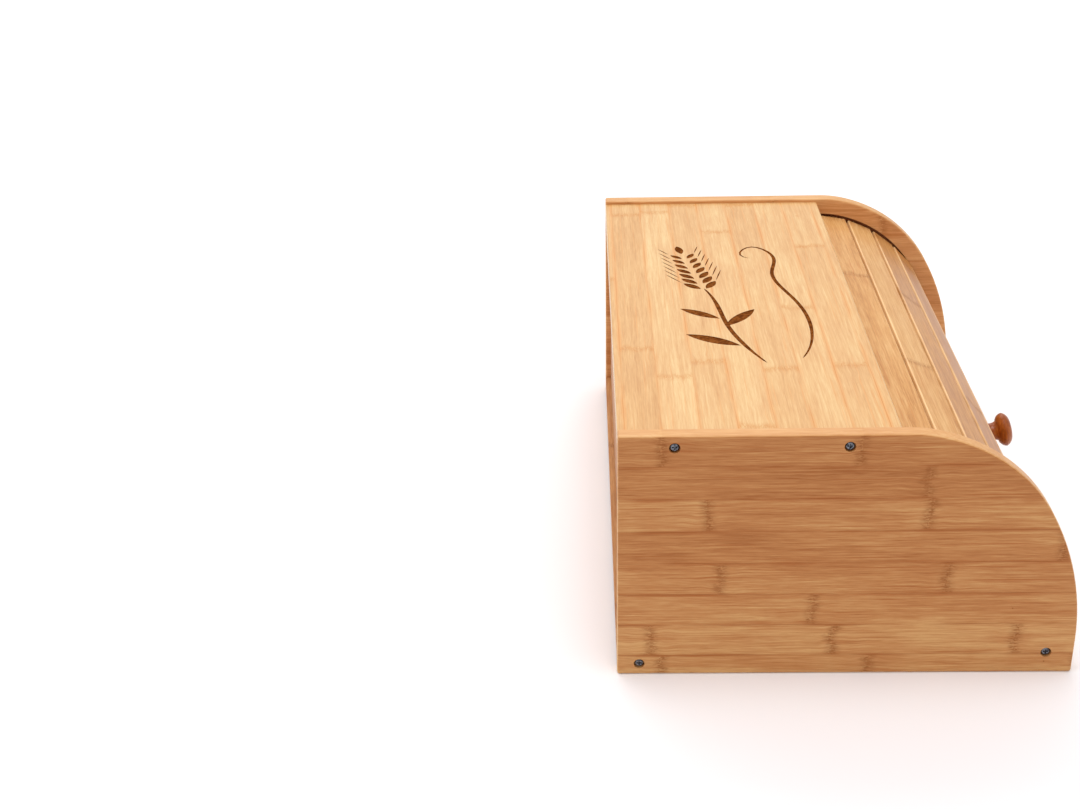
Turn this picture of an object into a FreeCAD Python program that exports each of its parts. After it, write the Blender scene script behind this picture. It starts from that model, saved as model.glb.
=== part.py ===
import FreeCAD, Part
import math
import os

# Roll-top bread bin of laminated bamboo.
# X runs to the right seen from the front, the front faces -Y, Z is up.
# The origin is under the middle of the bin, knob included. All values are in mm.

# Case
WIDTH = 396.0
HEIGHT = 162.0
REAR_Y = 138.5
CURVE_Y = -26.0
PROFILE_ARCS = ((77.0, 12.0), (103.0, 48.0), (178.0, 30.0))  # radius, degrees, from the top down
SIDE_T = 10.0
SIDE_EDGE_R = 1.4
SIDE_CORNER_R = 1.5

# Groove in each side panel that guides the slats
GROOVE_OUTER_INSET = 11.8
GROOVE_INNER_INSET = 23.5
GROOVE_DEPTH = 6.0
GROOVE_REAR_Y = 118.5

# Fixed boards between the side panels
TOP_T = 10.0
TOP_DROP = 2.5
TOP_FRONT_Y = -23.0
BOARD_EDGE_R = 1.0
BOTTOM_T = 9.0
FOOT_GAP = 3.0
BACK_T = 5.0
BACK_INSET = 4.0
BACK_GAP = 0.8
BACK_TONGUE = 4.0
RAIL_INSET = 12.0
RAIL_T = 12.0
RAIL_TOP = 25.5
RAIL_EDGE_R = 1.5
TONGUE_T = 4.0
TONGUE_L = 3.0
TONGUE_PLAY = 0.15

# Case screws, four in each side panel: place along Y and Z
SCREW_SEATS = ((106.3, 154.5), (8.0, 154.5), (125.2, 7.5), (-117.1, 14.2))
SCREW_HEAD_R = 2.65
SCREW_HEAD_H = 2.0
SCREW_RECESS = 1.0
SCREW_SHANK_R = 1.6
SCREW_GRIP = 30.0
SCREW_TIP = 5.0
SEAT_R = 3.25
CROSS_L = 3.1
CROSS_W = 0.8
CROSS_D = 1.2

# Slats of the roll-top and the canvas glued behind each one
SLAT_COUNT = 10
SLAT_PITCH = 20.0
SLAT_W = 19.3
SLAT_T = 6.0
SLAT_GAP_OVER = 2.2
SLAT_FIRST_GAP = 0.3
SLAT_END_GAP = 0.6
SLAT_CHAMFER = 0.7
SLAT_BACK_CHAMFER = 0.3
TENON_W = 8.0
TENON_T = 4.0
TENON_L = 5.0
TENON_V = 1.0
CANVAS_T = 0.8
CANVAS_W = 18.8
CANVAS_END_GAP = 16.0
# Play taken up by slats 1 to 10 at rest. The weight of the roll presses the slats in the bend
# against the outer wall of the groove. Each entry is a shift along the groove in mm, a shift
# out of the bin in mm and a tilt in degrees.
SLAT_PLAY = ((0.0, 1.3, 0.0), (0.0, 2.1, 0.0), (-0.1, 2.5, -0.5), (-0.3, 2.7, -1.5),
             (-0.6, 1.5, -5.0), (-0.5, 0.2, -1.0), (-1.0, 0.0, -0.4), (-1.1, 0.0, -0.2),
             (-0.7, 0.0, 0.0), (-0.2, 0.0, 0.0))

# Turned knob on the second slat and the screw that holds it
KNOB_SLAT = 2
KNOB_L = 19.8
KNOB_HEAD_R = 11.6
KNOB_HEAD_T = 9.5
KNOB_NECK_R = 6.2
KNOB_FOOT_R = 8.8
KNOB_HOLE_R = 1.6
KNOB_HOLE_L = 14.0
KNOB_SCREW_R = 1.5
KNOB_SCREW_HEAD_R = 3.6
KNOB_SCREW_HEAD_H = 2.1
KNOB_SCREW_L = 18.0
KNOB_SCREW_CLEAR = 0.2

# Burnt ornament sunk into the top panel: a wheat sprig over a curling line
BURN_D = 0.35
STEM_W = 3.0
FLOURISH_W = 2.6
KERNEL_L = 15.0
KERNEL_W = 5.6
KERNEL_PAIRS = 7
AWN_L = 20.0
AWN_W = 0.9

INNER_X = WIDTH / 2 - SIDE_T
TOP_Z = HEIGHT - TOP_DROP
SLAT_INSET = GROOVE_OUTER_INSET + SLAT_GAP_OVER + SLAT_T


def vec(x, y, z):
    return FreeCAD.Vector(x, y, z)


def save(node, shape):
    shape.exportStep("parts/" + node + ".step")


# Profile of the side panel, and lines parallel to it further in

def arc_centres():
    y, z, angle = CURVE_Y, HEIGHT - PROFILE_ARCS[0][0], 0.0
    centres = [(y, z)]
    for (radius, sweep), (next_radius, _) in zip(PROFILE_ARCS, PROFILE_ARCS[1:]):
        angle += math.radians(sweep)
        y -= math.sin(angle) * (radius - next_radius)
        z += math.cos(angle) * (radius - next_radius)
        centres.append((y, z))
    return centres


CENTRES = arc_centres()
FRONT_Y = CENTRES[-1][0] - PROFILE_ARCS[-1][0]
STRAIGHT_Z = CENTRES[-1][1]


def on_arc(index, inset, angle):
    radius = PROFILE_ARCS[index][0] - inset
    y, z = CENTRES[index]
    return y - radius * math.sin(angle), z + radius * math.cos(angle)


def profile_edges(inset, x, rear_y, low_z):
    def point(yz):
        return vec(x, yz[0], yz[1])

    edges = [Part.makeLine(vec(x, rear_y, HEIGHT - inset), vec(x, CURVE_Y, HEIGHT - inset))]
    start = 0.0
    for index, (_, sweep) in enumerate(PROFILE_ARCS):
        end = start + math.radians(sweep)
        marks = [point(on_arc(index, inset, a)) for a in (start, (start + end) / 2, end)]
        edges.append(Part.Arc(*marks).toShape())
        start = end
    foot_y = FRONT_Y + inset
    edges.append(Part.makeLine(vec(x, foot_y, STRAIGHT_Z), vec(x, foot_y, low_z)))
    return edges


def solid_from_edges(edges, length):
    wire = Part.Wire(Part.__sortEdges__(edges))
    return Part.Face(wire).extrude(vec(length, 0, 0))


def along_path(s):
    """Place and tilt on the line of the slats' inner faces, s mm down from its bend."""
    if s <= 0:
        return CURVE_Y - s, HEIGHT - SLAT_INSET, 0.0
    start = 0.0
    for index, (radius, sweep) in enumerate(PROFILE_ARCS):
        length = (radius - SLAT_INSET) * math.radians(sweep)
        if s <= length:
            angle = start + s / (radius - SLAT_INSET)
            y, z = on_arc(index, SLAT_INSET, angle)
            return y, z, angle
        s -= length
        start += math.radians(sweep)
    return FRONT_Y + SLAT_INSET, STRAIGHT_Z - s, start


def path_length_to(z_stop):
    full = sum((r - SLAT_INSET) * math.radians(a) for r, a in PROFILE_ARCS)
    radius = PROFILE_ARCS[-1][0] - SLAT_INSET
    if z_stop <= STRAIGHT_Z:
        return full + STRAIGHT_Z - z_stop
    return full - radius * math.asin((z_stop - STRAIGHT_Z) / radius)


# Side panels

def side_blank(x):
    edges = profile_edges(0.0, x, REAR_Y, 0.0)
    edges.append(Part.makeLine(vec(x, FRONT_Y, 0), vec(x, REAR_Y, 0)))
    edges.append(Part.makeLine(vec(x, REAR_Y, 0), vec(x, REAR_Y, HEIGHT)))
    blank = solid_from_edges(edges, SIDE_T)
    corners = [(REAR_Y, 0.0), (REAR_Y, HEIGHT), (FRONT_Y, 0.0)]
    blank = blank.makeFillet(SIDE_CORNER_R, edges_along_x(blank, corners))
    rims = [e for e in blank.Edges if e.BoundBox.XLength < 1e-6]
    return blank.makeFillet(SIDE_EDGE_R, rims)


def edges_along_x(shape, places):
    picked = []
    for edge in shape.Edges:
        box = edge.BoundBox
        if box.YLength > 1e-6 or box.ZLength > 1e-6:
            continue
        for y, z in places:
            if abs(box.YMin - y) < 1e-3 and abs(box.ZMin - z) < 1e-3:
                picked.append(edge)
    return picked


def slat_groove(x, length):
    edges = profile_edges(GROOVE_OUTER_INSET, x, GROOVE_REAR_Y, -1.0)
    edges += profile_edges(GROOVE_INNER_INSET, x, GROOVE_REAR_Y, -1.0)
    outer_y, inner_y = FRONT_Y + GROOVE_OUTER_INSET, FRONT_Y + GROOVE_INNER_INSET
    outer_z, inner_z = HEIGHT - GROOVE_OUTER_INSET, HEIGHT - GROOVE_INNER_INSET
    edges.append(Part.makeLine(vec(x, outer_y, -1.0), vec(x, inner_y, -1.0)))
    edges.append(Part.makeLine(vec(x, GROOVE_REAR_Y, outer_z), vec(x, GROOVE_REAR_Y, inner_z)))
    groove = solid_from_edges(edges, length)
    ends = [(GROOVE_REAR_Y, outer_z), (GROOVE_REAR_Y, inner_z)]
    return groove.makeFillet(3.0, edges_along_x(groove, ends))


def screw_axis(side):
    return vec(-side, 0, 0)


def side_panel(side):
    """side is -1 for the left panel and +1 for the right one."""
    outer_x = side * WIDTH / 2
    inner_x = side * INNER_X
    panel = side_blank(min(outer_x, inner_x))
    groove_x = inner_x if side > 0 else inner_x - GROOVE_DEPTH
    panel = panel.cut(slat_groove(groove_x, GROOVE_DEPTH))
    panel = panel.cut(back_panel())
    for y, z in SCREW_SEATS:
        head_depth = SCREW_HEAD_H + SCREW_RECESS
        seat = Part.makeCylinder(SEAT_R, head_depth, vec(outer_x, y, z), screw_axis(side))
        hole = Part.makeCylinder(SCREW_SHANK_R + 0.25, SIDE_T, vec(outer_x, y, z), screw_axis(side))
        panel = panel.cut(seat.fuse(hole))
    return panel


def drill_for_case_screws(board, seats):
    for side in (-1, 1):
        for y, z in seats:
            start = vec(side * INNER_X, y, z)
            depth = SCREW_GRIP - SIDE_T + SCREW_RECESS + 2.0
            board = board.cut(Part.makeCylinder(SCREW_SHANK_R + 0.02, depth, start, screw_axis(side)))
    return board


def cross_recess(centre, axis, across):
    """Cross-shaped socket, its arms along the directions across and axis x across."""
    other = axis.cross(across)
    cutter = None
    for arm, flat in ((across, other), (other, across)):
        corner = centre - arm * (CROSS_L / 2) - flat * (CROSS_W / 2)
        ring = [corner, corner + arm * CROSS_L, corner + arm * CROSS_L + flat * CROSS_W,
                corner + flat * CROSS_W, corner]
        bar = Part.Face(Part.makePolygon(ring)).extrude(axis * CROSS_D)
        cutter = bar if cutter is None else cutter.fuse(bar)
    return cutter


def case_screw(side, y, z):
    axis = screw_axis(side)
    face = vec(side * (WIDTH / 2 - SCREW_RECESS), y, z)
    head = Part.makeCylinder(SCREW_HEAD_R, SCREW_HEAD_H, face, axis)
    rims = [e for e in head.Edges if e.BoundBox.XLength < 1e-6 and abs(e.BoundBox.XMin - face.x) < 1e-6]
    head = head.makeFillet(0.8, rims)
    shank = Part.makeCylinder(SCREW_SHANK_R, SCREW_GRIP - SCREW_TIP, face, axis)
    tip_start = face + axis * (SCREW_GRIP - SCREW_TIP)
    tip = Part.makeCone(SCREW_SHANK_R, 0.3, SCREW_TIP, tip_start, axis)
    screw = head.fuse(shank).fuse(tip)
    return screw.cut(cross_recess(face, axis, vec(0, 1, 0)))


def case_screws():
    return Part.makeCompound([case_screw(side, y, z) for side in (-1, 1) for y, z in SCREW_SEATS])


# Fixed boards

def board(y_low, y_high, z_low, z_high, half_x):
    return Part.makeBox(2 * half_x, y_high - y_low, z_high - z_low, vec(-half_x, y_low, z_low))


def top_panel():
    panel = board(TOP_FRONT_Y, REAR_Y, TOP_Z - TOP_T, TOP_Z, INNER_X)
    edges = [(TOP_FRONT_Y, TOP_Z), (TOP_FRONT_Y, TOP_Z - TOP_T), (REAR_Y, TOP_Z)]
    panel = panel.makeFillet(BOARD_EDGE_R, edges_along_x(panel, edges))
    return drill_for_case_screws(panel, SCREW_SEATS[:2]).cut(ornament())


def bottom_panel():
    front_y = FRONT_Y + RAIL_INSET + RAIL_T
    mid_z = FOOT_GAP + BOTTOM_T / 2
    panel = board(front_y, REAR_Y, FOOT_GAP, FOOT_GAP + BOTTOM_T, INNER_X)
    tongue = board(front_y - TONGUE_L, front_y, mid_z - TONGUE_T / 2, mid_z + TONGUE_T / 2, INNER_X)
    return drill_for_case_screws(panel.fuse(tongue).removeSplitter(), SCREW_SEATS[2:3])


def front_rail():
    front_y = FRONT_Y + RAIL_INSET
    back_y = front_y + RAIL_T
    mid_z = FOOT_GAP + BOTTOM_T / 2
    half = TONGUE_T / 2 + TONGUE_PLAY
    rail = board(front_y, back_y, FOOT_GAP, RAIL_TOP, INNER_X)
    edges = [(front_y, RAIL_TOP), (front_y, FOOT_GAP), (back_y, RAIL_TOP)]
    rail = rail.makeFillet(RAIL_EDGE_R, edges_along_x(rail, edges))
    slot = board(back_y - TONGUE_L - TONGUE_PLAY, back_y + 1.0, mid_z - half, mid_z + half, INNER_X + 1.0)
    return drill_for_case_screws(rail.cut(slot), SCREW_SEATS[3:])


def back_panel():
    """Stands on the bottom panel, its ends let into the side panels, set in from the rear."""
    rear_y = REAR_Y - BACK_INSET
    low_z, high_z = FOOT_GAP + BOTTOM_T, TOP_Z - TOP_T - BACK_GAP
    return board(rear_y - BACK_T, rear_y, low_z, high_z, INNER_X + BACK_TONGUE)


# Roll-top slats. u runs down the groove, v points out of the bin.

def slat_pose(number):
    shift, outward, tilt = SLAT_PLAY[number - 1]
    lowest = path_length_to(RAIL_TOP) - SLAT_FIRST_GAP - SLAT_PITCH / 2
    y, z, angle = along_path(lowest - SLAT_PITCH * (number - 1) + shift)
    y -= outward * math.sin(angle)
    z += outward * math.cos(angle)
    return y, z, angle + math.radians(tilt)


def slat_point(pose, u, v, x):
    y, z, angle = pose
    return vec(x, y - u * math.cos(angle) - v * math.sin(angle),
               z - u * math.sin(angle) + v * math.cos(angle))


def slat_bar(pose, section, half_x):
    ring = [slat_point(pose, u, v, -half_x) for u, v in section]
    return Part.Face(Part.makePolygon(ring + ring[:1])).extrude(vec(2 * half_x, 0, 0))


def slat_section():
    half, back, front = SLAT_W / 2, SLAT_BACK_CHAMFER, SLAT_CHAMFER
    return [(-half + back, 0), (half - back, 0), (half, back), (half, SLAT_T - front),
            (half - front, SLAT_T), (front - half, SLAT_T), (-half, SLAT_T - front), (-half, back)]


def rectangle(width, v_low, v_high):
    return [(-width / 2, v_low), (width / 2, v_low), (width / 2, v_high), (-width / 2, v_high)]


def knob_axis(pose):
    return slat_point(pose, 0, 1, 0) - slat_point(pose, 0, 0, 0)


def slat(number):
    pose = slat_pose(number)
    body = slat_bar(pose, slat_section(), INNER_X - SLAT_END_GAP)
    tenon = slat_bar(pose, rectangle(TENON_W, TENON_V, TENON_V + TENON_T), INNER_X + TENON_L)
    body = body.fuse(tenon).removeSplitter()
    if number == KNOB_SLAT:
        body = body.cut(knob_screw_hole(pose, SLAT_T))
    return body


def canvas(number):
    pose = slat_pose(number)
    strip = slat_bar(pose, rectangle(CANVAS_W, -CANVAS_T, 0.0), INNER_X - CANVAS_END_GAP)
    if number == KNOB_SLAT:
        start = slat_point(pose, 0, -CANVAS_T - 1.0, 0)
        strip = strip.cut(Part.makeCylinder(KNOB_SCREW_HEAD_R + 0.6, 3.0, start, knob_axis(pose)))
    return strip


def knob_screw_hole(pose, depth):
    axis = knob_axis(pose)
    start = slat_point(pose, 0, 0, 0)
    wide, narrow = KNOB_SCREW_HEAD_R + KNOB_SCREW_CLEAR, KNOB_SCREW_R + KNOB_SCREW_CLEAR
    sink = Part.makeCone(wide, narrow, KNOB_SCREW_HEAD_H + 0.2, start, axis)
    return sink.fuse(Part.makeCylinder(narrow, depth, start, axis))


# Knob

def revolve_about(pose, outline, v_low):
    """Turn an outline of (radius, height) points and arcs about the knob's axis."""
    axis = knob_axis(pose)
    base = slat_point(pose, 0, v_low, 0)

    def place(mark):
        return base + vec(1, 0, 0) * mark[0] + axis * mark[1]

    edges = []
    for piece in outline:
        marks = [place(mark) for mark in piece]
        edges.append(Part.Arc(*marks).toShape() if len(marks) == 3 else Part.makeLine(*marks))
    face = Part.Face(Part.Wire(edges))
    return face.revolve(base, axis, 360.0)


def knob():
    pose = slat_pose(KNOB_SLAT)
    under = KNOB_L - KNOB_HEAD_T
    middle = KNOB_L - KNOB_HEAD_T * 0.48
    rim = KNOB_HEAD_R
    outline = [
        [(0, 0), (KNOB_FOOT_R, 0)],
        [(KNOB_FOOT_R, 0), (KNOB_FOOT_R, 1.2)],
        [(KNOB_FOOT_R, 1.2), (KNOB_NECK_R, 5.0), (KNOB_NECK_R + 0.6, under)],
        [(KNOB_NECK_R + 0.6, under), (rim - 1.2, under + 2.1), (rim, middle)],
        [(rim, middle), (rim - 2.6, KNOB_L - 1.3), (rim - 7.0, KNOB_L - 0.2)],
        [(rim - 7.0, KNOB_L - 0.2), (0, KNOB_L)],
        [(0, KNOB_L), (0, 0)],
    ]
    turned = revolve_about(pose, outline, SLAT_T)
    hole = Part.makeCylinder(KNOB_HOLE_R, KNOB_HOLE_L, slat_point(pose, 0, SLAT_T, 0), knob_axis(pose))
    return turned.cut(hole)


def knob_screw():
    pose = slat_pose(KNOB_SLAT)
    wide, shank = KNOB_SCREW_HEAD_R, KNOB_SCREW_R
    outline = [
        [(0, 0), (wide, 0)],
        [(wide, 0), (shank, KNOB_SCREW_HEAD_H)],
        [(shank, KNOB_SCREW_HEAD_H), (shank, KNOB_SCREW_L - 3.0)],
        [(shank, KNOB_SCREW_L - 3.0), (0, KNOB_SCREW_L)],
        [(0, KNOB_SCREW_L), (0, 0)],
    ]
    screw = revolve_about(pose, outline, 0.0)
    face = slat_point(pose, 0, 0, 0)
    return screw.cut(cross_recess(face, knob_axis(pose), vec(1, 0, 0)))


# Ornament

def ribbon(marks, width):
    """Closed strip of the given middle width along a smooth line, pointed at both ends."""
    line = Part.BSplineCurve()
    line.interpolate([vec(x, y, 0) for x, y in marks])
    first, last = line.FirstParameter, line.LastParameter
    steps = 6 * len(marks)
    left, right = [], []
    for i in range(1, steps):
        at = first + (last - first) * i / steps
        direction = line.tangent(at)[0]
        taper = min(1.0, 4.0 * min(i, steps - i) / steps)
        normal = vec(-direction.y, direction.x, 0) * (width / 2 * (0.35 + 0.65 * taper))
        left.append(line.value(at) + normal)
        right.append(line.value(at) - normal)
    ring = [line.value(first)] + left + [line.value(last)] + right[::-1]
    return pocket(Part.makePolygon(ring + ring[:1]))


def pocket(wire):
    face = Part.Face(wire)
    face.translate(vec(0, 0, TOP_Z - BURN_D))
    return face.extrude(vec(0, 0, BURN_D + 1.0))


def kernel(x, y, heading, length, width):
    """Leaf-shaped pocket between two arcs that starts at (x, y)."""
    along = vec(math.cos(heading), math.sin(heading), 0)
    across = vec(-along.y, along.x, 0) * (width / 2)
    start = vec(x, y, 0)
    end = start + along * length
    middle = start + along * (length * 0.45)
    edges = [Part.Arc(start, middle + across, end).toShape(),
             Part.Arc(end, middle - across, start).toShape()]
    return pocket(Part.Wire(edges))


def wheat_ear(x, y, heading):
    marks = []
    step = KERNEL_L * 0.62
    for i in range(KERNEL_PAIRS):
        size = 1.0 - 0.05 * i
        px = x + math.cos(heading) * step * i
        py = y + math.sin(heading) * step * i
        for hand in (-1, 1):
            turn = heading + hand * math.radians(38)
            side = heading + hand * math.pi / 2
            sx = px + math.cos(side) * 1.9
            sy = py + math.sin(side) * 1.9
            marks.append(kernel(sx, sy, turn, KERNEL_L * size, KERNEL_W * size))
            tip_x = sx + math.cos(turn) * (KERNEL_L * size + 1.2)
            tip_y = sy + math.sin(turn) * (KERNEL_L * size + 1.2)
            awn_turn = heading + hand * math.radians(24)
            marks.append(kernel(tip_x, tip_y, awn_turn, AWN_L * size, AWN_W))
    end_x = x + math.cos(heading) * step * KERNEL_PAIRS
    end_y = y + math.sin(heading) * step * KERNEL_PAIRS
    marks.append(kernel(end_x, end_y, heading, KERNEL_L, KERNEL_W))
    return marks


def ornament():
    stem = [(-98, 44), (-70, 56), (-40, 64), (-8, 68), (21, 75)]
    low_line = [(-92, 22), (-50, 11), (0, 16), (48, 26), (84, 24), (96, 36), (84, 45), (74, 38)]
    marks = [ribbon(stem, STEM_W), ribbon(low_line, FLOURISH_W)]
    marks += wheat_ear(20, 75, math.radians(10))
    for x, y, turn, length in ((-72, 58, 62, 38), (-42, 65, -38, 34), (-30, 68, 56, 30)):
        marks.append(kernel(x, y, math.radians(turn), length, length * 0.24))
    return Part.makeCompound(marks)


def build():
    os.makedirs("parts", exist_ok=True)
    save("left_side_panel", side_panel(-1))
    save("right_side_panel", side_panel(1))
    save("top_panel", top_panel())
    save("bottom_panel", bottom_panel())
    save("back_panel", back_panel())
    save("front_rail", front_rail())
    save("case_screws", case_screws())
    for number in range(1, SLAT_COUNT + 1):
        save("slat_%02d" % number, slat(number))
        save("canvas_%02d" % number, canvas(number))
    save("knob", knob())
    save("knob_screw", knob_screw())


build()
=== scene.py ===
import math

import bmesh
import bpy
import numpy as np
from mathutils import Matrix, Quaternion, Vector


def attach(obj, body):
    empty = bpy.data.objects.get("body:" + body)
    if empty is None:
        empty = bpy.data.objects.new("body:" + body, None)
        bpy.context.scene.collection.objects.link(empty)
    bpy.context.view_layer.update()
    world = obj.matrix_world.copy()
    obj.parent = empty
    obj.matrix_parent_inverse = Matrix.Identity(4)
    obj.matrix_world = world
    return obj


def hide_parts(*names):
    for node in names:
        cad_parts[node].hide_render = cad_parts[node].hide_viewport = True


# Looks of a roll-top bread bin of laminated bamboo. Metres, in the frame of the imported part;
# the materials work in millimetres. The front faces -Y, X runs to the right, Z is up.

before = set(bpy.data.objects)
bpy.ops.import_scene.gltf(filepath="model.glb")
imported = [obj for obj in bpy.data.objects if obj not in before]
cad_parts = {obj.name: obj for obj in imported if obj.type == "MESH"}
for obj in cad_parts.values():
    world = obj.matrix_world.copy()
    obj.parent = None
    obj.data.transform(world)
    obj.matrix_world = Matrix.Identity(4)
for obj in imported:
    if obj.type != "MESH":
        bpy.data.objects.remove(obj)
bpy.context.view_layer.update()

SLAT_COUNT = 10
KNOB_SLAT = 2
MM = 1000.0


def srgb(red, green, blue):
    """Scene-linear colour of an 8-bit sRGB triple."""

    def linear(value):
        value /= 255.0
        return value / 12.92 if value <= 0.04045 else ((value + 0.055) / 1.055) ** 2.4

    return (linear(red), linear(green), linear(blue), 1.0)


# Camera, floor and light

CAMERA_PLACE = (-1.0182, 0.1584, 0.5973)
CAMERA_YAW = 0.0281
CAMERA_PITCH = 0.4679
CAMERA_ROLL = -0.0221
CAMERA_LENS = 55.2


def make_camera():
    data = bpy.data.cameras.new("camera")
    data.sensor_fit = "HORIZONTAL"
    data.sensor_width = 36.0
    data.lens = CAMERA_LENS
    data.clip_start = 0.01
    data.clip_end = 50.0
    camera = bpy.data.objects.new("camera", data)
    bpy.context.scene.collection.objects.link(camera)
    flat = math.cos(CAMERA_PITCH)
    forward = Vector((math.cos(CAMERA_YAW) * flat, math.sin(CAMERA_YAW) * flat,
                      -math.sin(CAMERA_PITCH)))
    camera.location = CAMERA_PLACE
    camera.rotation_mode = "QUATERNION"
    level = forward.to_track_quat("-Z", "Y")
    camera.rotation_quaternion = level @ Quaternion((0.0, 0.0, 1.0), CAMERA_ROLL)
    bpy.context.scene.camera = camera


FLOOR_HALF = 6.0
FLOOR_DROP = 0.0002


def make_floor():
    mesh = bpy.data.meshes.new("floor")
    half = FLOOR_HALF
    corners = [(-half, -half, 0), (half, -half, 0), (half, half, 0), (-half, half, 0)]
    mesh.from_pydata(corners, [], [(0, 1, 2, 3)])
    floor = bpy.data.objects.new("floor", mesh)
    floor.location.z = -FLOOR_DROP
    bpy.context.scene.collection.objects.link(floor)
    graph = Graph("floor_paper")
    shade = graph.noise(graph.object_position(), (400.0, 400.0, 400.0), detail=2.0)
    colour = graph.mix(shade, srgb(247, 244, 246), srgb(250, 249, 250))
    graph.finish(graph.surface(colour, roughness=0.75, specular=0.3))
    mesh.materials.append(graph.material)


WORLD_COLOUR = (1.0, 0.985, 0.99, 1.0)
WORLD_STRENGTH = 0.74
# Place, point it aims at, side of the square, power in watts
SOFTBOXES = {
    "overhead": ((-0.22, 0.12, 1.7), (0.0, 0.0, 0.08), 0.8, 12.0),
    "camera_fill": ((-2.2, 0.5, 1.1), (0.0, 0.0, 0.08), 1.2, 2.0),
    "far_wash": ((3.6, 1.0, 2.6), (3.6, 1.0, 0.0), 4.5, 90.0),
}


def make_light():
    world = bpy.data.worlds.new("studio")
    world.use_nodes = True
    background = world.node_tree.nodes["Background"]
    background.inputs["Color"].default_value = WORLD_COLOUR
    background.inputs["Strength"].default_value = WORLD_STRENGTH
    bpy.context.scene.world = world
    bpy.context.scene.view_settings.view_transform = "Standard"
    for name, settings in SOFTBOXES.items():
        add_softbox(name, *settings)


def add_softbox(name, place, aim, side, power):
    data = bpy.data.lights.new(name, "AREA")
    data.shape = "SQUARE"
    data.size = side
    data.energy = power
    lamp = bpy.data.objects.new(name, data)
    lamp.location = place
    lamp.rotation_mode = "QUATERNION"
    lamp.rotation_quaternion = (Vector(aim) - Vector(place)).to_track_quat("-Z", "Y")
    bpy.context.scene.collection.objects.link(lamp)


# Material graphs

NOISE_SEED_STEP = (3.1, 7.7, 5.3)


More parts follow.
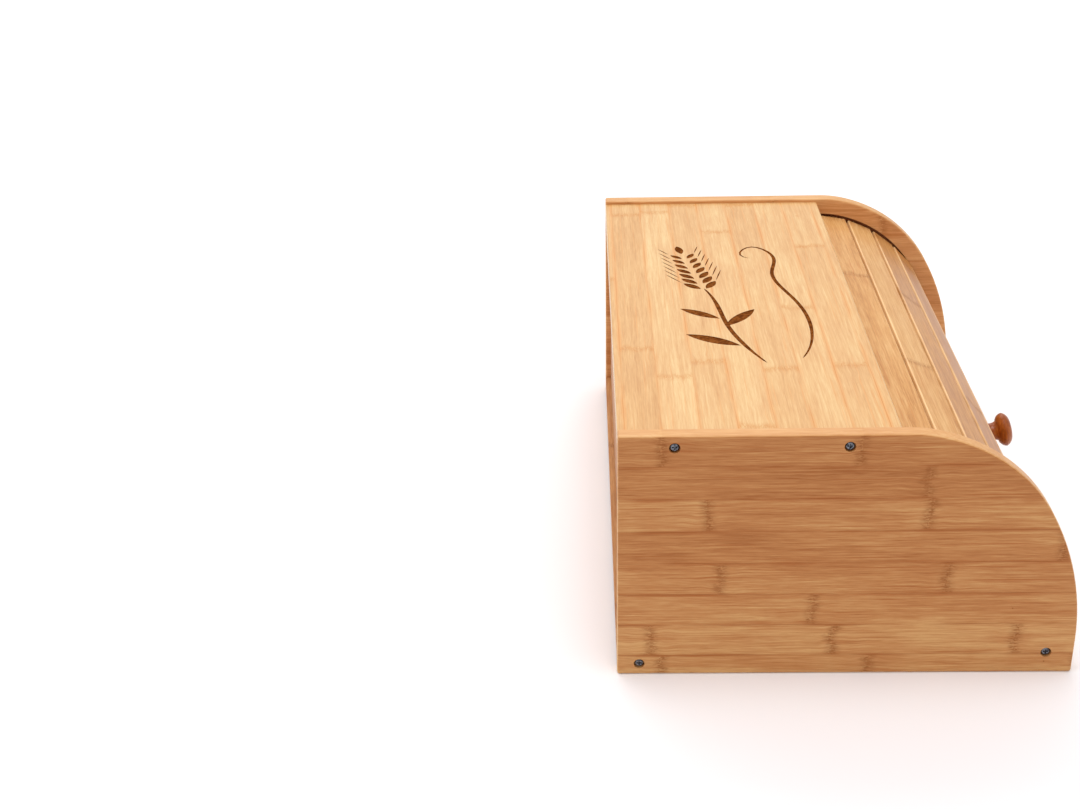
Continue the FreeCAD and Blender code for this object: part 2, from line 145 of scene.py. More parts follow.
class Graph:
    """Builds one material, node by node. Values and sockets can be mixed as inputs."""

    def __init__(self, name):
        self.material = bpy.data.materials.new(name)
        self.material.use_nodes = True
        self.tree = self.material.node_tree
        self.tree.nodes.clear()

    def add(self, kind, **settings):
        node = self.tree.nodes.new(kind)
        for key, value in settings.items():
            setattr(node, key, value)
        return node

    def feed(self, socket, value):
        if isinstance(value, bpy.types.NodeSocket):
            self.tree.links.new(value, socket)
        else:
            socket.default_value = value

    def math(self, operation, *values):
        node = self.add("ShaderNodeMath", operation=operation)
        for socket, value in zip(node.inputs, values):
            self.feed(socket, value)
        return node.outputs[0]

    def plus(self, *values):
        total = values[0]
        for value in values[1:]:
            total = self.math("ADD", total, value)
        return total

    def times(self, *values):
        total = values[0]
        for value in values[1:]:
            total = self.math("MULTIPLY", total, value)
        return total

    def vector(self, operation, *values):
        node = self.add("ShaderNodeVectorMath", operation=operation)
        for socket, value in zip(node.inputs, values):
            self.feed(socket, value)
        return node.outputs[1] if operation in ("DOT_PRODUCT", "LENGTH") else node.outputs[0]

    def combine(self, x, y, z):
        node = self.add("ShaderNodeCombineXYZ")
        for socket, value in zip(node.inputs, (x, y, z)):
            self.feed(socket, value)
        return node.outputs[0]

    def step(self, value, low, high, top=1.0):
        """Rises smoothly from 0 at low to top at high; falls if low is the larger."""
        node = self.add("ShaderNodeMapRange", interpolation_type="SMOOTHSTEP")
        if low > high:
            low, high, start, end = high, low, top, 0.0
        else:
            start, end = 0.0, top
        for socket, number in zip(node.inputs[1:5], (low, high, start, end)):
            socket.default_value = number
        self.feed(node.inputs[0], value)
        return node.outputs[0]

    def noise(self, position, size, detail=2.0, roughness=0.5, seed=0.0):
        """Noise from 0 to 1. size gives its features in millimetres along the three directions."""
        mapping = self.add("ShaderNodeMapping")
        mapping.inputs["Scale"].default_value = tuple(1.0 / s for s in size)
        mapping.inputs["Location"].default_value = tuple(seed * step for step in NOISE_SEED_STEP)
        self.feed(mapping.inputs["Vector"], position)
        node = self.add("ShaderNodeTexNoise")
        node.inputs["Scale"].default_value = 1.0
        node.inputs["Detail"].default_value = detail
        node.inputs["Roughness"].default_value = roughness
        self.feed(node.inputs["Vector"], mapping.outputs[0])
        return node.outputs[0]

    def swing(self, noise, amount):
        """Noise centred on 0, amount high at its usual extremes."""
        return self.times(self.math("SUBTRACT", noise, 0.5), amount * 2.0)

    def mix(self, factor, first, second):
        """First colour where factor is 0, second colour where it is 1."""
        node = self.add("ShaderNodeMix", data_type="RGBA")
        self.feed(node.inputs[0], factor)
        self.feed(node.inputs[6], first)
        self.feed(node.inputs[7], second)
        return node.outputs[2]

    def ramp(self, value, stops, interpolation="LINEAR"):
        node = self.add("ShaderNodeValToRGB")
        node.color_ramp.interpolation = interpolation
        elements = node.color_ramp.elements
        while len(elements) > 1:
            elements.remove(elements[-1])
        elements[0].position, elements[0].color = stops[0]
        for place, colour in stops[1:]:
            elements.new(place).color = colour
        self.feed(node.inputs[0], value)
        return node

    def xyz(self):
        """Place on the object in millimetres, as three separate values."""
        split = self.add("ShaderNodeSeparateXYZ")
        self.feed(split.inputs[0], self.object_position())
        return split.outputs

    def object_position(self):
        """Place on the object in millimetres; it stays with the piece when the piece moves."""
        coordinates = self.add("ShaderNodeTexCoord")
        return self.vector("MULTIPLY", coordinates.outputs["Object"], (MM, MM, MM))

    def local_position(self, board):
        position = self.object_position()
        shifted = self.vector("SUBTRACT", position, board.origin)
        parts = [self.vector("DOT_PRODUCT", shifted, axis) for axis in board.axes()]
        return parts, self.combine(*parts)

    def facing(self, axis):
        """How squarely the surface faces the axis, from 0 to 1."""
        coordinates = self.add("ShaderNodeTexCoord")
        along_axis = self.vector("DOT_PRODUCT", coordinates.outputs["Normal"], axis)
        return self.math("ABSOLUTE", along_axis)

    def surface(self, colour, roughness, specular=0.5, height=None, **sockets):
        shader = self.add("ShaderNodeBsdfPrincipled")
        self.feed(shader.inputs["Base Color"], colour)
        self.feed(shader.inputs["Roughness"], roughness)
        self.feed(shader.inputs["Specular IOR Level"], specular)
        for name, value in sockets.items():
            shader.inputs[name.replace("_", " ").title()].default_value = value
        if height is not None:
            bump = self.add("ShaderNodeBump")
            bump.inputs["Strength"].default_value = 1.0
            bump.inputs["Distance"].default_value = 1.0 / MM
            self.feed(bump.inputs["Height"], height)
            self.tree.links.new(bump.outputs[0], shader.inputs["Normal"])
        return shader

    def finish(self, shader):
        output = self.add("ShaderNodeOutputMaterial")
        self.tree.links.new(shader.outputs[0], output.inputs["Surface"])


# Bamboo

WOOD_SPECULAR = 0.2
STRIP_PITCH = 21.5
# How far the grain pattern is moved per strip, so that no two strips show the same fibres
TONE_SHIFT = 733.0
INDEX_SHIFT = 271.0


class Board:
    """A board glued from strips, in millimetres. along is the grain, across counts the strips.

    strips holds one row per strip, from the lowest place across: tone from 0 (deep) to 1 (pale),
    place of a node mark along the grain, distance to the next one, and how much the tone jumps
    there. spots holds one row per dark flaw: place along and across, radius and strength.
    """

    def __init__(self, along, across, strips, first_edge, pitch=STRIP_PITCH, origin=(0, 0, 0),
                 spots=()):
        self.along, self.across = Vector(along), Vector(across)
        self.strips, self.first_edge, self.pitch = strips, first_edge, pitch
        self.origin = tuple(origin)
        self.spots = spots

    def axes(self):
        depth = self.along.cross(self.across)
        return [tuple(axis) for axis in (self.along, self.across, depth)]


PLACE_RANGE = 600.0
SPACING_RANGE = 600.0


def strip_table(graph, board, across):
    """Values of the strip under the point, its number, and the distance to its nearest edge."""
    count = len(board.strips)
    scaled = graph.times(graph.math("SUBTRACT", across, board.first_edge), 1.0 / board.pitch)
    index = graph.math("FLOOR", scaled)
    stops = []
    for row, (tone, place, spacing, jump) in enumerate(board.strips):
        values = (tone, place / PLACE_RANGE + 0.5, spacing / SPACING_RANGE, jump + 0.5)
        stops.append((row / count, values))
    table = graph.ramp(graph.times(graph.plus(index, 0.5), 1.0 / count), stops, "CONSTANT")
    split = graph.add("ShaderNodeSeparateColor")
    graph.feed(split.inputs[0], table.outputs[0])
    tone, place, spacing = split.outputs
    edge = graph.math("ABSOLUTE", graph.math("WRAP", scaled, 0.5, -0.5))
    return {
        "tone": tone,
        "place": graph.times(graph.math("SUBTRACT", place, 0.5), PLACE_RANGE),
        "spacing": graph.times(spacing, SPACING_RANGE),
        "jump": graph.math("SUBTRACT", table.outputs[1], 0.5),
        "edge": graph.times(edge, board.pitch),
        "index": index,
    }


def nodes(graph, strip, along, position):
    """The strip's nearest node: signed distance, strength of its mark, sway of the fibres."""
    half = graph.times(strip["spacing"], 0.5)
    offset = graph.math("SUBTRACT", along, strip["place"])
    distance = graph.math("WRAP", offset, half, graph.times(half, -1.0))
    drift = graph.swing(graph.noise(position, (60.0, 7.0, 7.0), detail=1.0, seed=4.0), 4.0)
    near = graph.math("ABSOLUTE", graph.plus(distance, drift))
    blotches = graph.noise(position, (5.5, 1.9, 1.9), detail=2.0, roughness=0.6, seed=12.0)
    dashes = graph.noise(position, (3.2, 0.65, 0.9), detail=2.0, roughness=0.6, seed=9.0)
    pits = graph.noise(position, (1.3, 0.6, 0.9), detail=0.0, seed=10.0)
    body = graph.times(graph.step(near, 6.5, 1.5), graph.step(blotches, 0.36, 0.62), 0.55)
    dark = graph.times(graph.step(near, 5.0, 0.8), graph.step(dashes, 0.46, 0.62))
    pitted = graph.times(graph.step(near, 2.4, 0.4), graph.step(pits, 0.56, 0.7))
    mark = graph.math("MAXIMUM", graph.math("MAXIMUM", body, dark), pitted)
    sway = graph.swing(graph.noise(position, (15.0, 11.0, 11.0), detail=1.0, seed=13.0), 1.8)
    return distance, mark, graph.times(sway, graph.step(near, 30.0, 3.0))


def spot_mask(graph, along, across, spots):
    """Strength of the small dark flaws of a board."""
    mask = 0.0
    for place, level, radius, strength in spots:
        beside = graph.math("SUBTRACT", along, place)
        above = graph.math("SUBTRACT", across, level)
        far = graph.vector("LENGTH", graph.combine(beside, above, 0.0))
        mask = graph.math("MAXIMUM", mask, graph.step(far, radius, radius * 0.5, strength))
    return mask


def fibre_tone(graph, grain, base):
    """Tone from deep to pale along the fibres, and the noises that the look uses again."""
    noises = {
        "broad": graph.noise(grain, (110.0, 5.0, 7.0), detail=2.0, seed=1.0),
        "fibres": graph.noise(grain, (30.0, 1.1, 1.6), detail=3.0, roughness=0.65, seed=2.0),
        "threads": graph.noise(grain, (11.0, 0.45, 0.6), detail=1.0, seed=3.0),
        "clouds": graph.noise(grain, (40.0, 16.0, 16.0), detail=2.0, seed=5.0),
    }
    tone = graph.plus(base, graph.swing(noises["broad"], 0.34), graph.swing(noises["fibres"], 0.6),
                      graph.swing(noises["threads"], 0.3), graph.swing(noises["clouds"], 0.24))
    return tone, noises


def glue_line(graph, position, edge):
    """Thin joint between two strips, and the deeper colour to both sides of it."""
    patches = graph.noise(position, (45.0, 4.0, 4.0), detail=2.0, seed=8.0)
    joint = graph.times(graph.step(edge, 0.4, 0.08), graph.step(patches, 0.25, 0.7))
    warmth = graph.times(graph.step(edge, 2.2, 0.4), graph.step(patches, 0.3, 0.7))
    return joint, warmth


def bamboo(name, board, colours, gloss=0.4, worn_and_lit_axis=None, extra=None):
    """Laminated bamboo. extra(graph, look) may change the look before it becomes a shader."""
    graph = Graph(name)
    (along, across, depth), position = graph.local_position(board)
    strip = strip_table(graph, board, across)
    shift = graph.plus(graph.times(strip["tone"], TONE_SHIFT),
                       graph.times(strip["index"], INDEX_SHIFT))
    straight = graph.combine(graph.plus(along, shift), across, graph.plus(depth, shift))
    distance, marks, sway = nodes(graph, strip, along, straight)
    grain = graph.combine(graph.plus(along, shift), graph.plus(across, sway),
                          graph.plus(depth, shift))
    half = graph.times(strip["spacing"], 0.5)
    fade = graph.math("SUBTRACT", 1.0, graph.math("DIVIDE", graph.math("ABSOLUTE", distance), half))
    jump = graph.times(strip["jump"], fade, graph.math("SIGN", distance))
    tone, noises = fibre_tone(graph, grain, graph.plus(strip["tone"], jump))
    colour = graph.ramp(tone, colours["grain"]).outputs[0]

    streaks = graph.noise(grain, (75.0, 1.15, 2.5), detail=2.0, seed=6.0)
    streaked = graph.step(streaks, 0.58, 0.72, colours["streak_share"])
    colour = graph.mix(streaked, colour, colours["streak"])
    pores = graph.noise(grain, (4.5, 0.22, 0.4), detail=0.0, seed=7.0)
    colour = graph.mix(graph.step(pores, 0.66, 0.78, 0.2), colour, colours["mark"])
    colour = graph.mix(graph.times(marks, colours["mark_share"]), colour, colours["mark"])
    joint, warmth = glue_line(graph, position, strip["edge"])
    colour = graph.mix(graph.times(warmth, colours["glue_share"]), colour, colours["streak"])
    colour = graph.mix(graph.times(joint, colours["glue_share"]), colour, colours["mark"])
    if board.spots:
        colour = graph.mix(spot_mask(graph, along, across, board.spots), colour, colours["mark"])

    clouds, fibres = noises["clouds"], noises["fibres"]
    look = {
        "position": position,
        "tone": tone,
        "clouds": clouds,
        "colour": colour,
        "specular": WOOD_SPECULAR,
        "roughness": graph.plus(gloss, graph.swing(clouds, 0.09), graph.swing(fibres, 0.06),
                                graph.times(marks, 0.1)),
        "height": graph.plus(graph.swing(fibres, 0.012), graph.swing(noises["threads"], 0.006),
                             graph.times(marks, -0.03), graph.times(joint, -0.03),
                             graph.swing(clouds, 0.05)),
    }
    if worn_and_lit_axis is not None:
        wear_and_highlight_edges(graph, look, worn_and_lit_axis, colours)
    if extra is not None:
        extra(graph, look)
    shader = graph.surface(look["colour"], look["roughness"], look["specular"], look["height"],
                           coat_weight=0.03, coat_roughness=0.25)
    graph.finish(shader)
    return graph.material


def wear_and_highlight_edges(graph, look, axis, colours):
    """Paler, smoother wood on the roundings and chamfers of a board that faces the axis: partly
    real wear and polish, partly a painted highlight where the light from above catches them.
    """
    facing = graph.facing(axis)
    # Painted highlight: the roundings and chamfers get a paler colour, partly for wear and partly
    # for the light they catch.
    rounding = graph.step(facing, 0.99, 0.8)
    rubbed_and_lit = graph.times(rounding, graph.step(look["clouds"], 0.1, 0.6, colours["worn_and_lit_share"]))
    look["colour"] = graph.mix(rubbed_and_lit, look["colour"], colours["worn_and_lit"])
    look["roughness"] = graph.math("SUBTRACT", look["roughness"], graph.times(rounding, 0.08))


def arc_inset(graph, y, z, arc):
    """Distance in from an arc that bulges to the front and the top."""
    centre_y, centre_z, radius = arc
    back = graph.math("MINIMUM", graph.math("SUBTRACT", y, centre_y), 0.0)
    up = graph.math("MAXIMUM", graph.math("SUBTRACT", z, centre_z), 0.0)
    return graph.math("SUBTRACT", radius, graph.vector("LENGTH", graph.combine(back, up, 0.0)))


def profile_inset(graph, y, z):
    """Distance in from the outline of a side panel, in millimetres."""
    centre_y, centre_z, _ = LOWER_ARC
    over_y = graph.times(graph.math("SUBTRACT", y, centre_y), math.sin(ARC_JOINT))
    over_z = graph.times(graph.math("SUBTRACT", z, centre_z), math.cos(ARC_JOINT))
    upper = graph.math("GREATER_THAN", graph.plus(over_y, over_z), 0.0)
    lower = graph.math("SUBTRACT", 1.0, upper)
    inset = graph.plus(graph.times(upper, arc_inset(graph, y, z, UPPER_ARC)),
                       graph.times(lower, arc_inset(graph, y, z, LOWER_ARC)))
    for wall in (graph.math("SUBTRACT", PANEL_TOP, z), graph.math("SUBTRACT", PANEL_REAR, y), z):
        inset = graph.math("MINIMUM", inset, wall)
    return inset


def panel_rim(graph, look):
    """Rim of a side panel, slightly paler wood with painted light from above, and painted shade on
    the walls of its groove.
    """
    x, y, z = graph.xyz()
    inset = profile_inset(graph, y, z)
    # Painted light: the rim takes a colour as pale as the top panel's, for the light from above
    # that falls on it.
    rim = graph.step(inset, RIM_END, RIM_START)
    rim_wood_and_top_light = graph.ramp(look["tone"], RIM_WOOD_AND_TOP_LIGHT).outputs[0]
    look["colour"] = graph.mix(rim, look["colour"], rim_wood_and_top_light)
    depth = graph.math("SUBTRACT", graph.math("ABSOLUTE", x), PANEL_INNER)
    low_inset, high_inset = GROOVE_INSETS
    # Painted shade: the groove's walls and floor get a darker, redder colour for the shade inside
    # it.
    groove_shade = graph.times(graph.step(depth, 0.1, 0.6),
                         graph.step(depth, GROOVE_DEPTH + 1.0, GROOVE_DEPTH + 0.5),
                         graph.step(inset, low_inset - 1.0, low_inset - 0.3),
                         graph.step(inset, high_inset + 0.7, high_inset + 0.1))
    look["colour"] = graph.mix(graph.times(groove_shade, GROOVE_PAINTED_SHADE_SHARE), look["colour"], GROOVE_PAINTED_SHADE)


def burn(graph, look):
    """Scorched colour of the ornament's sunk floor and walls in the top panel."""
    _, y, z = graph.xyz()
    sunk = graph.step(z, TOP_SURFACE - 0.04, TOP_SURFACE - 0.10)
    above = graph.step(z, TOP_SURFACE - 2.0, TOP_SURFACE - 1.0)
    away = graph.math("ABSOLUTE", graph.math("SUBTRACT", y, ORNAMENT_MIDDLE))
    inside = graph.step(away, ORNAMENT_REACH + 1.0, ORNAMENT_REACH)
    mask = graph.times(sunk, above, inside)
    char = graph.noise(look["position"], (3.0, 3.0, 3.0), detail=3.0, seed=11.0)
    burnt = graph.mix(graph.step(char, 0.35, 0.65), *BURNT_WOOD)
    look["colour"] = graph.mix(mask, look["colour"], burnt)
    look["roughness"] = graph.plus(look["roughness"], graph.times(mask, 0.3))
    look["specular"] = graph.times(graph.math("SUBTRACT", 1.0, mask), WOOD_SPECULAR)


def palette(deep, middle, pale, streak, mark, worn_and_lit=None, streak_share=0.4, mark_share=0.62,
            glue_share=0.5, worn_and_lit_share=0.4):
    return {
        "grain": [(0.0, deep), (0.5, middle), (1.0, pale)],
        "streak": streak,
        "mark": mark,
        "worn_and_lit": worn_and_lit or pale,
        "streak_share": streak_share,
        "mark_share": mark_share,
        "glue_share": glue_share,
        "worn_and_lit_share": worn_and_lit_share,
    }


SIDE_COLOURS = palette(
    srgb(159, 94, 44), srgb(188, 127, 74), srgb(210, 161, 104),
    srgb(165, 92, 39), srgb(138, 76, 25),
    streak_share=0.6, mark_share=0.75, glue_share=0.65,
)
TOP_COLOURS = palette(
    srgb(191, 138, 80), srgb(210, 164, 108), srgb(222, 190, 136),
    srgb(214, 148, 80), srgb(194, 126, 56),
    streak_share=0.45, mark_share=0.6, glue_share=0.7,
)
# The slats' pale edge colour is mostly a painted highlight on their chamfers, with some real wear.
SLAT_COLOURS = palette(
    srgb(172, 112, 54), srgb(205, 151, 90), srgb(224, 181, 124),
    srgb(192, 120, 58), srgb(148, 90, 34),
    worn_and_lit=srgb(244, 206, 152), streak_share=0.5, mark_share=0.6, worn_and_lit_share=0.6,
)
RIGHT_COLOURS = palette(
    srgb(180, 116, 64), srgb(206, 145, 90), srgb(226, 174, 118),
    srgb(186, 114, 58), srgb(156, 92, 40),
    streak_share=0.4, mark_share=0.7, glue_share=0.5,
)
INNER_COLOURS = palette(
    srgb(160, 100, 54), srgb(190, 132, 80), srgb(212, 160, 106),
    srgb(150, 86, 42), srgb(118, 64, 28),
)
# Rim colour: a slightly paler rim wood plus painted light from above, matched to the top panel.
RIM_WOOD_AND_TOP_LIGHT = [(0.0, srgb(196, 136, 80)), (0.5, srgb(213, 161, 105)), (1.0, srgb(224, 184, 130))]
# Painted shade inside the groove of the side panels; the cut wood itself has the panel's colour.
GROOVE_PAINTED_SHADE = srgb(158, 80, 36)
GROOVE_PAINTED_SHADE_SHARE = 0.85
BURNT_WOOD = (srgb(94, 46, 10), srgb(131, 74, 28))

# Height of the top panel, and where the ornament lies on it along Y
TOP_SURFACE = 159.5
ORNAMENT_MIDDLE = 57.0
ORNAMENT_REACH = 70.0

# Outline of the side panels in Y and Z: top, rear, inner face, and the two long arcs as centre and
# radius. The arcs meet on a line through both centres that leans ARC_JOINT from the level.
# The groove is measured in from the outline and from the inner face.
GROOVE_INSETS = (11.8, 23.5)
GROOVE_DEPTH = 6.0
RIM_START = 0.3
RIM_END = 0.75
PANEL_TOP = 162.0
PANEL_REAR = 138.5
PANEL_INNER = 188.0
UPPER_ARC = (-20.6, 59.57, 103.0)
LOWER_ARC = (44.35, 22.07, 178.0)
ARC_JOINT = math.radians(30.0)

# Strips of every board, as Board describes them, and where the first one starts across it
LEFT_FIRST_EDGE = 13.6 - STRIP_PITCH
# The lowest strips of the left panel are paler, partly for their own tone and partly as painted
# light from the floor's bounce on the bottom of the panel.
LEFT_STRIPS = (
    (0.72, -11.5, 123.8, 0.05),
    (0.74, 10.5, 108.0, 0.06),
    (0.60, 23.5, 190.0, 0.05),
    (0.52, 77.7, 131.7, -0.04),
    (0.42, -119.0, 290.0, 0.08),
    (0.56, 87.3, 127.5, 0.08),
    (0.36, -37.8, 230.0, -0.06),
    (0.42, 1.0, 112.5, 0.05),
)
RIGHT_FIRST_EDGE = 2.8
RIGHT_STRIPS = (
    (0.52, 60.0, 128.0, 0.06),
    (0.44, -20.0, 119.0, -0.05),
    (0.58, 101.0, 134.0, 0.06),
    (0.40, 33.0, 121.0, 0.05),
    (0.50, -88.0, 126.0, -0.06),
    (0.56, 74.0, 117.0, 0.05),
    (0.38, -75.0, 131.0, 0.08),
    (0.48, 12.0, 109.0, -0.05),
)
TOP_PITCH = 21.6
TOP_FIRST_EDGE = -17.0 - TOP_PITCH
TOP_STRIPS = (
    (0.50, 260.0, 500.0, 0.0),
    (0.50, -101.7, 198.7, 0.07),
    (0.58, -13.0, 300.0, 0.03),
    (0.48, 184.0, 290.0, 0.04),
    (0.60, -181.7, 310.0, 0.04),
    (0.52, -95.5, 280.0, 0.05),
    (0.64, 169.5, 285.0, -0.06),
    (0.40, 165.0, 240.0, 0.04),
    (0.48, 40.0, 260.0, 0.04),
)
RAIL_STRIPS = ((0.5, -28.0, 224.0, 0.06),)
LEFT_SPOTS = ((-94.0, 45.8, 0.55, 0.8), (-116.5, 7.8, 0.6, 0.85))
TOP_SPOTS = ((-127.0, -6.5, 0.6, 0.6), (158.0, -4.75, 2.6, 0.22), (159.2, -4.2, 1.0, 0.45))
# One row per slat, from the lowest one up
SLAT_STRIPS = (
    (0.30, -40.0, 232.0, 0.08),
    (0.44, 96.0, 210.0, 0.07),
    (0.36, -118.0, 228.0, -0.07),
    (0.14, 34.0, 215.0, 0.06),
    (0.08, -72.0, 236.0, 0.05),
    (0.28, 64.0, 224.0, -0.05),
    (0.62, -63.0, 250.0, 0.06),
    (0.52, 72.0, 240.0, 0.05),
    (0.52, -12.0, 231.0, 0.06),
    (0.48, 118.0, 226.0, -0.06),
)


def set_material(node, material):
    mesh_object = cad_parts[node]
    mesh_object.data.materials.clear()
    mesh_object.data.materials.append(material)


def slat_frame(number):
    """Centre of a slat and its direction across, from the CAD mesh, in millimetres."""
    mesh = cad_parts["slat_%02d" % number].data
    points = np.zeros(len(mesh.vertices) * 3)
    mesh.vertices.foreach_get("co", points)
    flat = np.unique(points.reshape(-1, 3)[:, 1:].round(6), axis=0) * MM
    centre = (flat.min(0) + flat.max(0)) / 2
    _, directions = np.linalg.eigh(np.cov((flat - centre).T))
    across = directions[:, -1]
    if across[1] < 0 or (abs(across[1]) < 1e-6 and across[0] < 0):
        across = -across
    return centre, Vector((0.0, across[0], across[1])).normalized()


def dress_slats():
    for number in range(1, SLAT_COUNT + 1):
        centre, across = slat_frame(number)
        board = Board((1, 0, 0), across, SLAT_STRIPS[number - 1:number], -30.0, 60.0,
                      (0.0, centre[0], centre[1]))
        outward = Vector((1, 0, 0)).cross(across)
        material = bamboo("bamboo_slat_%02d" % number, board, SLAT_COLOURS, 0.38, outward)
        set_material("slat_%02d" % number, material)


def inner_strips(count):
    """Plain strips for the boards inside, their tones and nodes out of step."""
    strips = []
    for row in range(count):
        tone = 0.3 + 0.35 * (7 * row % 5) / 4
        strips.append((tone, 67.0 * row - 300.0, 215.0, 0.05))
    return strips


def dress_boards():
    x, y, z = (1, 0, 0), (0, 1, 0), (0, 0, 1)
    left = Board(y, z, LEFT_STRIPS, LEFT_FIRST_EDGE, spots=LEFT_SPOTS)
    right = Board(y, z, RIGHT_STRIPS, RIGHT_FIRST_EDGE)
    top = Board(x, y, TOP_STRIPS, TOP_FIRST_EDGE, TOP_PITCH, spots=TOP_SPOTS)
    rail = Board(x, z, RAIL_STRIPS, -20.0, 60.0)
    bottom = Board(x, y, inner_strips(14), -140.0)
    back = Board(x, z, inner_strips(8), -4.0)
    for node, name, board, colours, gloss, worn_and_lit_axis, extra in (
        ("left_side_panel", "bamboo_left", left, SIDE_COLOURS, 0.4, None, panel_rim),
        ("right_side_panel", "bamboo_right", right, RIGHT_COLOURS, 0.4, None, panel_rim),
        ("top_panel", "bamboo_top", top, TOP_COLOURS, 0.36, z, burn),
        ("front_rail", "bamboo_rail", rail, SLAT_COLOURS, 0.4, y, None),
        ("bottom_panel", "bamboo_bottom", bottom, INNER_COLOURS, 0.5, z, None),
        ("back_panel", "bamboo_back", back, INNER_COLOURS, 0.5, y, None),
    ):
        set_material(node, bamboo(name, board, colours, gloss, worn_and_lit_axis, extra))


# Knob and screws


def knob_material():
    centre, across = slat_frame(KNOB_SLAT)
    axis = Vector((1, 0, 0)).cross(across)
    graph = Graph("knob_varnish")
    board = Board(across, axis, ((0.5, 0, 600, 0),), -60.0, 120.0, (0.0, centre[0], centre[1]))
    _, position = graph.local_position(board)
    grain = graph.noise(position, (30.0, 1.1, 1.1), detail=3.0, roughness=0.6, seed=2.0)
    blotch = graph.noise(position, (12.0, 6.0, 6.0), detail=2.0, seed=3.0)
    tone = graph.plus(0.5, graph.swing(grain, 0.5), graph.swing(blotch, 0.35))
    stops = [(0.0, srgb(104, 42, 6)), (0.5, srgb(152, 76, 20)), (1.0, srgb(190, 110, 44))]
    colour = graph.ramp(tone, stops).outputs[0]
    turning = graph.noise(position, (60.0, 0.35, 60.0), detail=1.0, seed=5.0)
    height = graph.plus(graph.swing(grain, 0.02), graph.swing(turning, 0.01))
    roughness = graph.plus(0.34, graph.swing(blotch, 0.1))
    shader = graph.surface(colour, roughness, 0.2, height, coat_weight=0.28, coat_roughness=0.18)
    graph.finish(shader)
    return graph.material


def steel_material():
    graph = Graph("steel_screw")
    position = graph.object_position()
    scratches = graph.noise(position, (0.25, 2.5, 0.25), detail=2.0, seed=1.0)
    stain = graph.noise(position, (1.6, 1.6, 1.6), detail=3.0, seed=2.0)
    colour = graph.mix(graph.step(stain, 0.4, 0.7), srgb(120, 123, 130), srgb(54, 52, 55))
    roughness = graph.plus(0.28, graph.swing(scratches, 0.14))
    shader = graph.surface(colour, roughness, 0.5, graph.swing(scratches, 0.02), metallic=1.0)
    graph.finish(shader)
    return graph.material


# Canvas behind the slats

CANVAS_ROWS = 12
CANVAS_COLUMNS = 172
CANVAS_THREAD = 0.9
# Height of the waves along the cut edges and of the ripples in the face, and their rates along X
CANVAS_EDGE_WAVE = 0.00022
CANVAS_EDGE_RATE = 410
CANVAS_SLACK = 0.00005
CANVAS_RIPPLE_RATE = 170
CANVAS_PADDING = 0.00006
KNOB_SCREW_HOLE = 0.0043


def canvas_material():
    graph = Graph("canvas_weave")
    position = graph.object_position()
    x, y, z = graph.xyz()
    warp = graph.math("SINE", graph.times(x, 2 * math.pi / CANVAS_THREAD))
    drop = graph.math("SUBTRACT", y, z)
    weft = graph.math("SINE", graph.times(drop, 2 * math.pi / CANVAS_THREAD))
    weave = graph.times(warp, weft)
    slubs = graph.noise(position, (14.0, 1.2, 1.2), detail=2.0, seed=3.0)
    soil = graph.noise(position, (30.0, 30.0, 30.0), detail=3.0, seed=4.0)
    tone = graph.plus(0.5, graph.times(weave, 0.16), graph.swing(slubs, 0.3),
                      graph.swing(soil, 0.25))
    stops = [(0.0, srgb(150, 132, 104)), (0.5, srgb(196, 180, 150)), (1.0, srgb(224, 212, 186))]
    colour = graph.ramp(tone, stops).outputs[0]
    height = graph.plus(graph.times(weave, 0.06), graph.swing(slubs, 0.08))
    roughness = graph.plus(0.88, graph.times(weave, 0.04))
    shader = graph.surface(colour, roughness, 0.2, height, sheen_weight=0.25, sheen_roughness=0.5)
    graph.finish(shader)
    return graph.material


def canvas_space(number):
    """Middle, directions and size of the space that one canvas has in the CAD part."""
    points = np.array([v.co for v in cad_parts["canvas_%02d" % number].data.vertices])
    _, across = slat_frame(number)
    outward = Vector((1, 0, 0)).cross(across)
    if outward.dot(Vector((0, -1, 0.6))) < 0:
        outward = -outward
    middle = Vector((points.min(0) + points.max(0)) / 2)
    half_length = points[:, 0].max()
    half_width = np.ptp(points @ np.array(across)) / 2
    thickness = np.ptp(points @ np.array(outward)) - 2 * CANVAS_PADDING
    return middle, across, outward, half_length, half_width, thickness


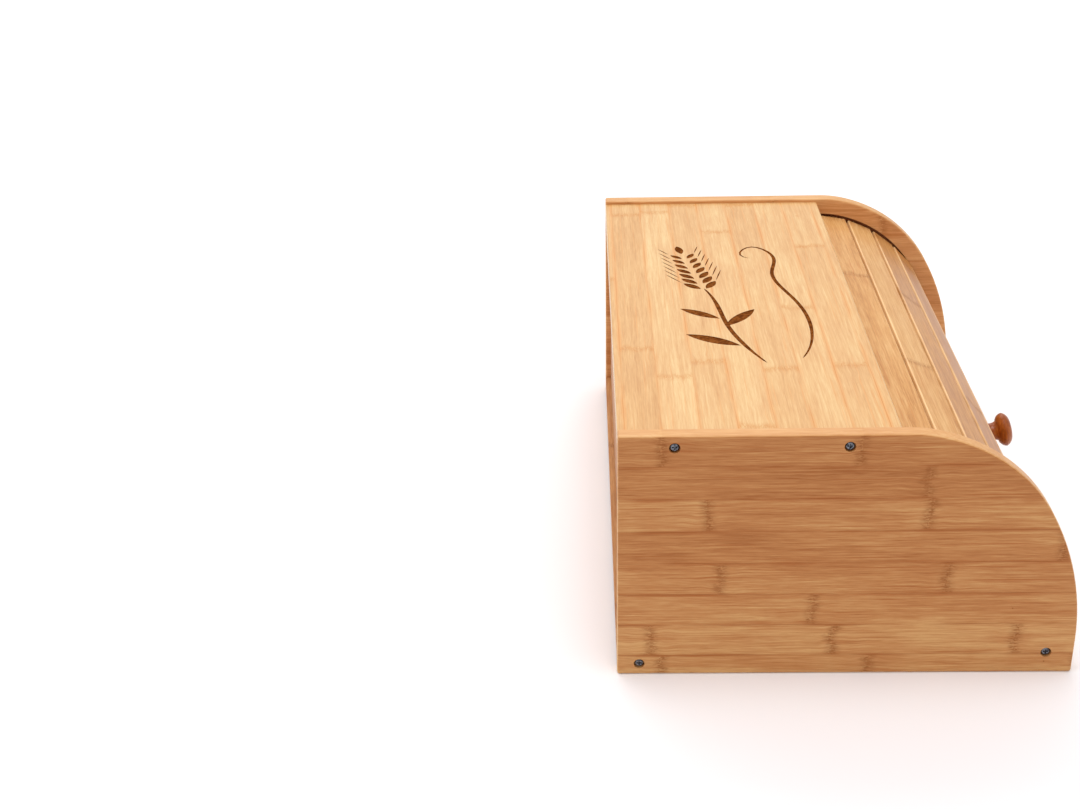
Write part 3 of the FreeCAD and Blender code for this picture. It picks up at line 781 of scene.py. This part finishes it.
def canvas_grid(made, number, space):
    """The outer layer of a canvas, rippled and with wavy cut edges."""
    middle, across, outward, half_length, half_width, thickness = space
    grid = []
    for i in range(CANVAS_COLUMNS + 1):
        x = half_length * (2.0 * i / CANVAS_COLUMNS - 1.0)
        line = []
        for j in range(CANVAS_ROWS + 1):
            share = 2.0 * j / CANVAS_ROWS - 1.0
            wave = 1 + math.sin(x * CANVAS_EDGE_RATE + number + share * 2)
            reach = half_width - CANVAS_EDGE_WAVE * wave
            ripple = CANVAS_SLACK * math.sin(x * CANVAS_RIPPLE_RATE + 3 * share + number)
            place = middle + across * (reach * share) + outward * (thickness / 2 + ripple)
            line.append(made.verts.new((x, place.y, place.z)))
        grid.append(line)
    for first, second in zip(grid, grid[1:]):
        for j in range(CANVAS_ROWS):
            made.faces.new((first[j], second[j], second[j + 1], first[j + 1]))


def canvas_sheet(number, material):
    """Woven strip glued behind one slat, inside the space of its CAD solid."""
    node = "canvas_%02d" % number
    space = canvas_space(number)
    middle, _, outward, half_length, half_width, thickness = space
    made = bmesh.new()
    canvas_grid(made, number, space)
    if number == KNOB_SLAT:
        punch(made, middle + outward * (thickness / 2), KNOB_SCREW_HOLE)
    thicken(made, outward * -thickness)

    mesh = bpy.data.meshes.new("canvas_sheet_%02d" % number)
    made.to_mesh(mesh)
    made.free()
    mesh.materials.append(material)
    sheet = bpy.data.objects.new("canvas_sheet_%02d" % number, mesh)
    bpy.context.scene.collection.objects.link(sheet)
    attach(sheet, "slat_%02d_set" % number)
    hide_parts(node)


def punch(made, centre, radius):
    """Round hole in a flat sheet: drop what lies inside and draw its border onto the circle."""
    inside = [vert for vert in made.verts if (vert.co - centre).length < radius * 0.9]
    border = {other for vert in inside for face in vert.link_faces for other in face.verts}
    border -= set(inside)
    bmesh.ops.delete(made, geom=inside, context="VERTS")
    for vert in border:
        spoke = vert.co - centre
        vert.co = centre + spoke * (radius / spoke.length)


def thicken(made, offset):
    """Second layer of a sheet and the rim that joins both."""
    faces = list(made.faces)
    border = [edge for edge in made.edges if edge.is_boundary]
    twins = {vert: made.verts.new(vert.co + offset) for vert in list(made.verts)}
    for face in faces:
        made.faces.new([twins[vert] for vert in reversed(face.verts)])
    for edge in border:
        first, second = edge.verts
        made.faces.new((first, second, twins[second], twins[first]))
    bmesh.ops.recalc_face_normals(made, faces=made.faces)


def main():
    make_camera()
    make_floor()
    make_light()
    dress_boards()
    dress_slats()
    set_material("knob", knob_material())
    steel = steel_material()
    set_material("case_screws", steel)
    set_material("knob_screw", steel)
    canvas = canvas_material()
    for number in range(1, SLAT_COUNT + 1):
        canvas_sheet(number, canvas)


main()
